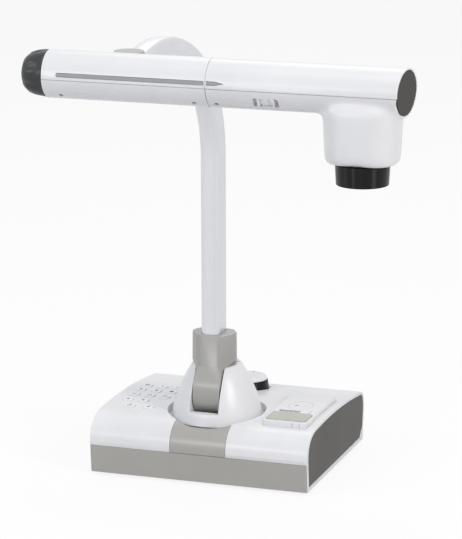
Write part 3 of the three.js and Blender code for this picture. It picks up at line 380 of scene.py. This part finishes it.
SIGNS = [
    ring(0.0019) + [bar(0, 0.0013, 0.0003, 0.0011)],
    [bar(0, 0, 0.0017, 0.0004), bar(0, 0.00125, 0.0004, 0.00055), bar(0, -0.00125, 0.0004, 0.00055)],
    [circle(0.0019, 3, pi / 2)],
    [circle(0.0019, 3, -pi / 2)],
    [bar(0, 0, 0.0019, 0.0004)],
    [bar(-0.0009, 0, 0.0004, 0.0015), bar(0.0009, 0, 0.0004, 0.0015)],
    ring(0.0017),
    [circle(0.0019, 3, 0)],
    [circle(0.0019, 3, pi)],
    [bar(0, 0, 0.0014, 0.0014)],
    [bar(0, 0.001, 0.0018, 0.0003), bar(0, 0, 0.0018, 0.0003), bar(0, -0.001, 0.0018, 0.0003)],
    [circle(0.0008, 14)],
    [bar(-0.0008, 0.0008, 0.0006, 0.0006), bar(0.0008, -0.0008, 0.0006, 0.0006)],
]
for count, sign in enumerate(SIGNS, 1):
    node = f"key_{count:02d}"
    fitted(rounded(node, KEY_EDGE), key_plastic, "key", node + "_body", node)
    low, high = (Vector(corner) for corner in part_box(node))
    top = ((low.x + high.x) / 2, (low.y + high.y) / 2, high.z - INK_THICKNESS / 2)
    sign = [[(SIGN_SIZE * x, SIGN_SIZE * y) for x, y in outline] for outline in sign]
    printed(node + "_sign", sign, top, ink, node + "_body", "key")

# Dial
# A turning knob: a glossy black tapered grip with shallow flutes, and a white cap pressed into its
# top. Its stem goes down through the cover to the encoder.
DIAL_CAP = 0.0026
DIAL_FLUTES = 48
FLUTE_DEPTH = 0.0003
FLUTE_SHARES = (0.6, 0.97)
SKIRT_WELD = 0.0001


def turned(name, profile, middle, steps=64, flutes=0, cut_shares=(0, 0), depth=0.0):
    """A piece turned about an upright axis from (radius, height) pairs, with flutes cut in its side"""
    shape = bmesh.new()
    rings = []
    for radius, height in profile:
        if radius == 0:
            rings.append([shape.verts.new((middle[0], middle[1], height))])
            continue
        points = []
        for step in range(steps):
            angle = 2 * pi * step / steps
            share = (height - profile[0][1]) / (profile[-1][1] - profile[0][1])
            fluted = flutes and cut_shares[0] < share < cut_shares[1]
            out = radius - (depth * (0.5 - 0.5 * cos(flutes * angle)) if fluted else 0)
            place = (middle[0] + out * cos(angle), middle[1] + out * sin(angle), height)
            points.append(shape.verts.new(place))
        rings.append(points)
    for inner, outer in zip(rings, rings[1:]):
        for step in range(steps):
            after = (step + 1) % steps
            if len(inner) == 1:
                shape.faces.new((inner[0], outer[step], outer[after]))
            elif len(outer) == 1:
                shape.faces.new((inner[step], inner[after], outer[0]))
            else:
                shape.faces.new((inner[step], inner[after], outer[after], outer[step]))
    bmesh.ops.recalc_face_normals(shape, faces=shape.faces)
    mesh = bpy.data.meshes.new(name)
    shape.to_mesh(mesh)
    shape.free()
    return placed(name, mesh, 40)


low, high = (Vector(corner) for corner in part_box("dial"))
middle = ((low.x + high.x) / 2, (low.y + high.y) / 2)
reach = (high.x - low.x) / 2
corners = [v.co for v in frame["nodes"]["dial"].data.vertices]
stem = max(hypot(v.x - middle[0], v.y - middle[1]) for v in corners if v.z < low.z + SKIRT_WELD)
skirt = min(v.z for v in corners if hypot(v.x - middle[0], v.y - middle[1]) > reach - SKIRT_WELD)
cap_low = high.z - DIAL_CAP
gloss_black = moulded(
    "gloss black", (0.003, 0.003, 0.004), 0.34, drift=0.1, depth=0.000004, specular=0.25, worn=0.0,
)
# Fine turning rings run round the black pieces and draw each highlight out along the axis
lathed = gloss_black.node_tree
shader = lathed.nodes["Principled BSDF"]
shader.inputs["Anisotropic"].default_value = 1.0
shader.inputs["Anisotropic Rotation"].default_value = 0.25
around = lathed.nodes.new("ShaderNodeTangent")
around.direction_type = "RADIAL"
around.axis = "Z"
lathed.links.new(around.outputs["Tangent"], shader.inputs["Tangent"])
grip = turned("dial_grip", [
    (0, low.z), (stem, low.z), (stem, skirt), (reach - 0.0006, skirt), (reach, skirt + 0.0008),
    (reach - 0.0004, skirt + 0.0018), (0.918 * reach, cap_low - 0.0012), (0.905 * reach, cap_low - 0.0004),
    (0.89 * reach, cap_low - 0.0002), (0, cap_low - 0.0002),
], middle, steps=DIAL_FLUTES * 4, flutes=DIAL_FLUTES, cut_shares=FLUTE_SHARES, depth=FLUTE_DEPTH)
fitted(grip, gloss_black, "rubber", "dial_body", "dial")
cap = turned("dial_cap", [
    (0, cap_low), (0.896 * reach, cap_low), (0.9 * reach, cap_low + 0.0006),
    (0.885 * reach, high.z - 0.0016), (0.86 * reach, high.z - 0.0006), (0.8 * reach, high.z - 0.0001),
    (0.5 * reach, high.z - 0.0003), (0, high.z - 0.0005),
], middle)
fitted(cap, white_plastic, "key", "dial_body")
printed(
    "dial_pointer", [bar(0, 0.76 * reach, 0.0005, 0.0016)],
    (*middle, high.z - 0.00018), ink, "dial_body", "rubber",
)

# Control pod
# A raised white block right of the dome. One wide greenish grey key fills its front, and behind it
# are printed a scale, two amber dots and the outline of a loop. Two fine joints part its front.
POD_EDGE = 0.0007
POD_KEY_EDGE = 0.0006
MARK_COUNT, MARK_PITCH, MARK_SHIFT = 13, 0.0016, 0.0035
MARK_PLACE, MARK_HALF_WIDTH, MARK_HALF_LENGTH = 0.0054, 0.0005, 0.0022
DOT_RADIUS, DOT_ROWS = 0.0012, (0.0042, 0.0095)
LOOP_PLATES = 30
JOINT_SHARES = (0.68, 0.84)
JOINT_HALF_WIDTH, JOINT_HALF_HEIGHT, JOINT_DROP = 0.0002, 0.0021, 0.0031
control_pod = rounded("control_pod", POD_EDGE, 3)
fitted(control_pod, white_plastic, "white", "base", "control_pod")
window_plastic = moulded("greenish grey key plastic", (0.47, 0.48, 0.42), 0.34, drift=0.05)
fitted(rounded("pod_key", POD_KEY_EDGE, 3), window_plastic, "window", "pod_key_body", "pod_key")
low, high = (Vector(corner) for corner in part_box("control_pod"))
key_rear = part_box("pod_key")[1][1]
across, along = (high.x - low.x) / 2, high.y - key_rear
start = Vector(((low.x + high.x) / 2, key_rear, high.z - INK_THICKNESS / 2))
scale_marks = []
for step in range(MARK_COUNT):
    x, y = (step - 7) * MARK_PITCH - MARK_SHIFT, MARK_PLACE + 0.0006 * (step % 3 == 0)
    scale_marks.append(bar(x, y, MARK_HALF_WIDTH, MARK_HALF_LENGTH + 0.0008 * (step % 2)))
printed("pod_scale", scale_marks, start, ink, "base", "black")
amber_ink = moulded("amber ink", (0.62, 0.40, 0.20), 0.5, depth=0.000004, worn=0.0)
dots = [[(x + 0.65 * across, y + row) for x, y in circle(DOT_RADIUS)] for row in DOT_ROWS]
printed("pod_dots", dots, start, amber_ink, "base", "black")
plug_grey = moulded("dark grey plastic", (0.16, 0.16, 0.165), 0.55, drift=0.08)
pale_ink = moulded("pale grey ink", (0.46, 0.465, 0.47), 0.5, depth=0.000004, worn=0.0)
loop = []
for step in range(LOOP_PLATES):
    ends = [2 * pi * (step + k) / LOOP_PLATES for k in (0.0, 0.8)]
    inner = [(0.50 * across * cos(a), 0.36 * along + 0.20 * along * sin(a)) for a in ends]
    outer = [(0.52 * across * cos(a), 0.36 * along + 0.21 * along * sin(a)) for a in ends]
    loop.append([*inner, *outer[::-1]])
loop.append(bar(0.22 * across, 0.36 * along, 0.0030, 0.0004))
loop.append(bar(-0.2 * across, 0.36 * along, 0.0016, 0.0016))
printed("pod_loop", loop, start, pale_ink, "base", "black")
splits = [
    bar((share - 0.5) * (high.x - low.x), 0, JOINT_HALF_WIDTH, JOINT_HALF_HEIGHT)
    for share in JOINT_SHARES
]
front = (start.x, low.y + INK_THICKNESS / 2, high.z - JOINT_DROP)
printed("pod_front_splits", splits, front, plug_grey, "base", "black", lean=pi / 2)

# Pivot dome
# White ABS dome that turns in the base's well, held from below by a nut. Its slot opens to the
# front and to the top, and its two cheeks take the hinge pin with the arm's barrel between them.
DOME_EDGE = 0.0008
fitted(rounded("pivot_dome", DOME_EDGE, 3), white_plastic, "white", "dome_body", "pivot_dome")

# Arm sleeve
# Grey moulded sleeve in one piece: a barrel on the hinge pin, a narrow neck between the dome's
# cheeks, shoulders that slant out over them, and the socket that grips the foot of the bar.
SLEEVE_EDGE = 0.0012
sleeve_plastic = moulded(
    "sleeve grey plastic", (0.330, 0.323, 0.303), 0.35, grain=0.0009, depth=0.00002, specular=0.8,
)
fitted(rounded("arm_sleeve", SLEEVE_EDGE, 3), sleeve_plastic, "grey", "arm_body", "arm_sleeve")

# Arm bar
# Extruded aluminium tube with rounded corners, bent twice. It was brushed along its length before
# it was satin anodised, so fine lines follow the bends.
BEND_HEIGHT = 0.300
BENDS = ((0.105, 0.0, 55.0), (0.187, 55.0, 98.0))
BEND_STEPS = 24
END_REACH = 0.03
FOOT_MARGIN = 0.0001
STROKE_SCALE = (3200, 3200, 40)


def along_bar(mesh):
    """Stores how far along the bar, and how far out from its middle, each corner of the mesh lies"""
    points = np.array([tuple(v.co) for v in mesh.vertices])
    foot = points[points[:, 2] < points[:, 2].min() + FOOT_MARGIN]
    route = [(foot[:, 1].mean(), points[:, 2].min()), (foot[:, 1].mean(), BEND_HEIGHT)]
    for radius, first, last in BENDS:
        y, z = route[-1]
        for step in range(1, BEND_STEPS + 1):
            turn = radians(first + (last - first) * step / BEND_STEPS)
            back = radius * (cos(radians(first)) - cos(turn))
            route.append((y - back, z + radius * (sin(turn) - sin(radians(first)))))
    route.append((route[-1][0] - END_REACH * sin(turn), route[-1][1] + END_REACH * cos(turn)))
    route = np.array(route)
    nearest = np.full(len(points), np.inf)
    place = np.zeros((len(points), 3))
    place[:, 0] = points[:, 0]
    gone = 0.0
    for start, end in zip(route, route[1:]):
        length = np.linalg.norm(end - start)
        heading = (end - start) / length
        offset = points[:, 1:] - start
        reach = np.clip(offset @ heading, 0, length)
        away = np.linalg.norm(offset - np.outer(reach, heading), axis=1)
        side = offset[:, 0] * heading[1] - offset[:, 1] * heading[0]
        closer = away < nearest
        nearest[closer] = away[closer]
        place[closer, 1] = side[closer]
        place[closer, 2] = gone + reach[closer]
        gone += length
    stored = mesh.attributes.new("bar_lines", "FLOAT_VECTOR", "POINT")
    stored.data.foreach_set("vector", place.ravel())


satin_metal = bpy.data.materials.new("satin anodised aluminium")
satin_metal.use_nodes = True
wires = satin_metal.node_tree
shader = wires.nodes["Principled BSDF"]
shader.inputs["Metallic"].default_value = 0.85
lines = wires.nodes.new("ShaderNodeAttribute")
lines.attribute_name = "bar_lines"
stretched = wires.nodes.new("ShaderNodeVectorMath")
stretched.operation = "MULTIPLY"
stretched.inputs[1].default_value = STROKE_SCALE
wires.links.new(lines.outputs["Vector"], stretched.inputs[0])
strokes = wires.nodes.new("ShaderNodeTexNoise")
strokes.inputs["Scale"].default_value = 1
strokes.inputs["Detail"].default_value = 3
wires.links.new(stretched.outputs[0], strokes.inputs["Vector"])
tones = wires.nodes.new("ShaderNodeValToRGB")
tones.color_ramp.elements[0].position = 0.3
tones.color_ramp.elements[1].position = 0.7
tones.color_ramp.elements[0].color = (0.675, 0.68, 0.715, 1)
tones.color_ramp.elements[1].color = (0.74, 0.745, 0.78, 1)
wires.links.new(strokes.outputs["Fac"], tones.inputs["Fac"])
wires.links.new(tones.outputs["Color"], shader.inputs["Base Color"])
gloss = wires.nodes.new("ShaderNodeMapRange")
gloss.inputs["To Min"].default_value = 0.30
gloss.inputs["To Max"].default_value = 0.42
wires.links.new(strokes.outputs["Fac"], gloss.inputs["Value"])
wires.links.new(gloss.outputs["Result"], shader.inputs["Roughness"])
bump = wires.nodes.new("ShaderNodeBump")
bump.inputs["Strength"].default_value = 0.3
bump.inputs["Distance"].default_value = 0.000008
wires.links.new(strokes.outputs["Fac"], bump.inputs["Height"])
wires.links.new(bump.outputs["Normal"], shader.inputs["Normal"])
bar_shell = rounded("arm_bar", 0, smooth=30)
along_bar(bar_shell.data)
fitted(bar_shell, satin_metal, "silver", "arm_body", "arm_bar")

# Fork
# Grey moulded fork screwed to the end of the bar. Its two plates take the upright pin on which the
# head turns.
FORK_EDGE = 0.0008
fork_grey = moulded("fork silver grey", (0.40, 0.40, 0.395), 0.4, grain=0.0006, depth=0.00002)
fork_grey.node_tree.nodes["Principled BSDF"].inputs["Metallic"].default_value = 0.4
fitted(rounded("arm_fork", FORK_EDGE, 3), fork_grey, "grey", "arm_body", "arm_fork")

# Rear half of the head
# Two white shells that part a little below the middle, screwed together through the two small
# holes with dark plugs. A grey inlay runs along the front, and small ink marks stand by the knob.
SEAM_EDGE = 0.0006
PART_EDGE = 0.00015
INLAY_EDGE = 0.0002
SCREW_EDGE = 0.0003
KNUCKLE_EDGE = 0.0003
INK_DEPTH = 0.00002
MARK_ROWS = 5
# Each sign by its distance from the knob, its angle up from the front and its two half sizes
TUBE_SIGNS = (
    (0.011, 43, 0.0011, 3.0), (0.0075, 20, 0.0012, 4.0), (0.0095, 3.5, 0.0007, 9.0),
    (0.0095, -24, 0.0016, 5.0), (0.0035, -20, 0.0004, 4.0),
)


def ring_seam(line):
    """The edges round the tube's ends, wider than those where its two shells part"""
    return SEAM_EDGE if abs(line.verts[0].co.x - line.verts[1].co.x) < 0.00001 else 0


for node in ("rear_tube_upper", "rear_tube_lower"):
    fitted(rounded(node, PART_EDGE, 3, ring_seam), white_plastic, "white", "head_body", node)
stripe_grey = moulded("grey inlay", (0.28, 0.28, 0.315), 0.42)
fitted(rounded("stripe_inlay", INLAY_EDGE), stripe_grey, "stripe", "head_body", "stripe_inlay")
for node in ("rear_screw_left", "rear_screw_right"):
    fitted(rounded(node, SCREW_EDGE), plug_grey, "steel", "head_body", node)
fitted(rounded("head_knuckle", KNUCKLE_EDGE), sleeve_plastic, "grey", "head_body", "head_knuckle")
disc_low, disc_high = (Vector(corner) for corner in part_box("end_disc"))
tube_y, tube_z = (disc_low.y + disc_high.y) / 2, (disc_low.z + disc_high.z) / 2
tube_low, tube_high = (Vector(corner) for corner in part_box("rear_tube_upper"))
tube_radius = (tube_high.y - tube_low.y) / 2


def tube_marks(name, patches, paint, body, slot):
    """Ink marks on the tube, each given by its place and half size along it and its angle round it"""
    shape = bmesh.new()
    for x, angle, half_length, half_turn in patches:
        layers = []
        for out in (-INK_DEPTH, INK_THICKNESS):
            rows = []
            for step in range(MARK_ROWS):
                turn = radians(angle + half_turn * (step - 2) / 2)
                y = tube_y - (tube_radius + out) * cos(turn)
                z = tube_z + (tube_radius + out) * sin(turn)
                rows.append([shape.verts.new((x + side * half_length, y, z)) for side in (-1, 1)])
            layers.append(rows)
        under, over = layers
        for step in range(MARK_ROWS - 1):
            shape.faces.new((over[step][0], over[step][1], over[step + 1][1], over[step + 1][0]))
            shape.faces.new((under[step][0], under[step + 1][0], under[step + 1][1], under[step][1]))
            for side in (0, 1):
                shape.faces.new((
                    under[step][side], over[step][side], over[step + 1][side], under[step + 1][side],
                ))
        for end in (0, MARK_ROWS - 1):
            shape.faces.new((under[end][0], under[end][1], over[end][1], over[end][0]))
    bmesh.ops.recalc_face_normals(shape, faces=shape.faces)
    mesh = bpy.data.meshes.new(name)
    shape.to_mesh(mesh)
    shape.free()
    return fitted(placed(name, mesh, 30), paint, slot, body)


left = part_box("end_knob")[1][0]
patches = [(left + along_tube, *turns) for along_tube, *turns in TUBE_SIGNS]
tube_marks("rear_tube_signs", patches, plug_grey, "head_body", "black")

# Knob
# Dark grey moulded knob on the left end of the head, with shallow flutes for the fingers. It is
# pressed onto a steel shaft that turns in the rear half.
knob_plastic = moulded(
    "dark knob plastic", (0.042, 0.044, 0.047), 0.34, drift=0.12, grain=0.0006, depth=0.00004,
    specular=0.25,
)
fitted(rounded("end_knob", 0, smooth=60), knob_plastic, "rubber", "knob_body", "end_knob")

# Front half of the head
# Two white shells like the rear ones. The lower one carries the lens housing, whose walls run into
# the tube in a smooth sweep, so it is made here as one even skin.
SKIN_CELL = 0.0009
SHELL_WALL = 0.0024
SWEEP_ROUNDS, SWEEP_STEP = 70, 0.6
# Where the sweep stops beside the lens, above the mouth, below the seam and short of the end, each
# with the length over which it fades
SIDE_STOP, SIDE_FADE = 0.052, 0.012
MOUTH_STOP, MOUTH_FADE = 0.0016, 0.006
SEAM_STOP, SEAM_FADE = 0.0012, 0.004
END_STOP, END_FADE = 0.004, 0.006
lower_low, lower_high = (Vector(corner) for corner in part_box("front_tube_lower"))
barrel_low, barrel_high = (Vector(corner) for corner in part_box("lens_barrel"))
lens_x = (barrel_low.x + barrel_high.x) / 2


def smooth_skin(node, soft):
    """The node's shape as one even mesh, smoothed where the soft function says, from 0 to 1"""
    source = rounded(node, 0)
    remesh = source.modifiers.new("even skin", "REMESH")
    remesh.mode = "VOXEL"
    remesh.voxel_size = SKIN_CELL
    evaluated = source.evaluated_get(bpy.context.evaluated_depsgraph_get())
    mesh = bpy.data.meshes.new_from_object(evaluated)
    old = source.data
    bpy.data.objects.remove(source)
    bpy.data.meshes.remove(old)
    points = np.array([tuple(v.co) for v in mesh.vertices])
    pairs = np.array([tuple(line.vertices) for line in mesh.edges])
    share = soft(points)[:, None]
    count = np.bincount(pairs.ravel(), minlength=len(points))[:, None]
    for _ in range(SWEEP_ROUNDS):
        around = np.zeros_like(points)
        np.add.at(around, pairs[:, 0], points[pairs[:, 1]])
        np.add.at(around, pairs[:, 1], points[pairs[:, 0]])
        points += SWEEP_STEP * share * (around / count - points)
    firm = 1 - share[:, 0]
    for radius in (tube_radius, tube_radius - SHELL_WALL):
        out = np.hypot(points[:, 1] - tube_y, points[:, 2] - tube_z)
        near = (np.abs(out - radius) < 0.6 * SKIN_CELL) * firm * (radius - out) / out
        points[:, 1] += near * (points[:, 1] - tube_y)
        points[:, 2] += near * (points[:, 2] - tube_z)
    mesh.vertices.foreach_set("co", points.ravel())
    mesh.update()
    return mesh


def housing_softness(points):
    """Full at the housing's walls and where they meet the tube, none at its mouth and the seams"""
    side = np.clip((SIDE_STOP - np.abs(points[:, 0] - lens_x)) / SIDE_FADE, 0, 1)
    above = np.clip((points[:, 2] - lower_low.z - MOUTH_STOP) / MOUTH_FADE, 0, 1)
    below = np.clip((lower_high.z - SEAM_STOP - points[:, 2]) / SEAM_FADE, 0, 1)
    end = np.clip((lower_high.x - END_STOP - points[:, 0]) / END_FADE, 0, 1)
    return side * above * below * end


upper_shell = rounded("front_tube_upper", PART_EDGE, 3, ring_seam)
fitted(upper_shell, white_plastic, "white", "lens_body", "front_tube_upper")
housing = placed("lens_housing", smooth_skin("front_tube_lower", housing_softness), 50)
fitted(housing, white_plastic, "white", "lens_body", "front_tube_lower")
fitted(rounded("stripe_tip", INLAY_EDGE), stripe_grey, "stripe", "lens_body", "stripe_tip")
fitted(rounded("front_screw", SCREW_EDGE), plug_grey, "steel", "lens_body", "front_screw")

# End disc
# A dark satin disc with a softly rounded rim, pressed flush into the slanted right end of the tube,
# which it closes.
DISC_EDGE = 0.0004
disc_plate = moulded(
    "dark satin disc", (0.038, 0.036, 0.030), 0.38, drift=0.06, depth=0.000006, specular=0.15, worn=0.02,
)
fitted(rounded("end_disc", DISC_EDGE, 3), disc_plate, "panel", "lens_body", "end_disc")

# Slide switch
# A white slider in a shallow slot on the front of the tube, moulded with three raised ridges for a
# finger. It moves a little to each side.
SLIDER_EDGE = 0.0003
RIDGE_PITCH, RIDGE_WIDTH, RIDGE_DEPTH, RIDGE_ROUND = 0.0014, 0.0006, 0.0008, 0.0002
fitted(rounded("head_slider", SLIDER_EDGE), key_plastic, "white", "slider_body", "head_slider")
low, high = (Vector(corner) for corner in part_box("head_slider"))
for step in (-1, 0, 1):
    ridge = bmesh.new()
    bmesh.ops.create_cube(ridge, size=1.0)
    bmesh.ops.scale(ridge, vec=(RIDGE_WIDTH, RIDGE_DEPTH, 0.55 * (high.z - low.z)), verts=ridge.verts)
    bmesh.ops.bevel(ridge, geom=ridge.edges, offset=RIDGE_ROUND, segments=2, affect="EDGES")
    turn = atan2((low.z + high.z) / 2 - tube_z, tube_y - low.y)
    bmesh.ops.rotate(ridge, verts=ridge.verts, matrix=Matrix.Rotation(-turn, 3, "X"))
    middle = ((low.x + high.x) / 2 + step * RIDGE_PITCH, low.y + RIDGE_WIDTH, (low.z + high.z) / 2)
    bmesh.ops.translate(ridge, verts=ridge.verts, vec=middle)
    mesh = bpy.data.meshes.new("slider_ridge")
    ridge.to_mesh(mesh)
    ridge.free()
    fitted(placed(f"slider_ridge_{step + 2}", mesh), key_plastic, "white", "slider_body")

# Lens
# A glossy black barrel, screwed up into the housing's mouth. A coated front glass sits a little way
# inside its lower rim.
BARREL_EDGE = 0.0005
barrel = rounded("lens_barrel", BARREL_EDGE, 3)
fitted(barrel, gloss_black, "black", "lens_body", "lens_barrel")

# Inner parts
# Plates, boards, pins and bearings that the shells hide. Steel parts are plain turned or cut steel,
# the boards are green lacquered laminate, and the glass has a dark violet coating.
inner_paints = {
    "steel": moulded("plain steel", (0.45, 0.46, 0.47), 0.36, drift=0.08),
    "board": moulded("circuit board", (0.05, 0.15, 0.07), 0.5, drift=0.12),
    "rubber": dark_rubber,
    "black": black_plastic,
    "glass": moulded("coated glass", (0.02, 0.018, 0.045), 0.08, coat=1.0, worn=0.0),
}
inner_paints["steel"].node_tree.nodes["Principled BSDF"].inputs["Metallic"].default_value = 1.0
slots = {part["node"]: part["material_slot"] for part in frame["record"]["subparts"]}
for name, node in frame["nodes"].items():
    if not node.hide_render:
        node.data.materials.clear()
        node.data.materials.append(inner_paints[slots[name]])
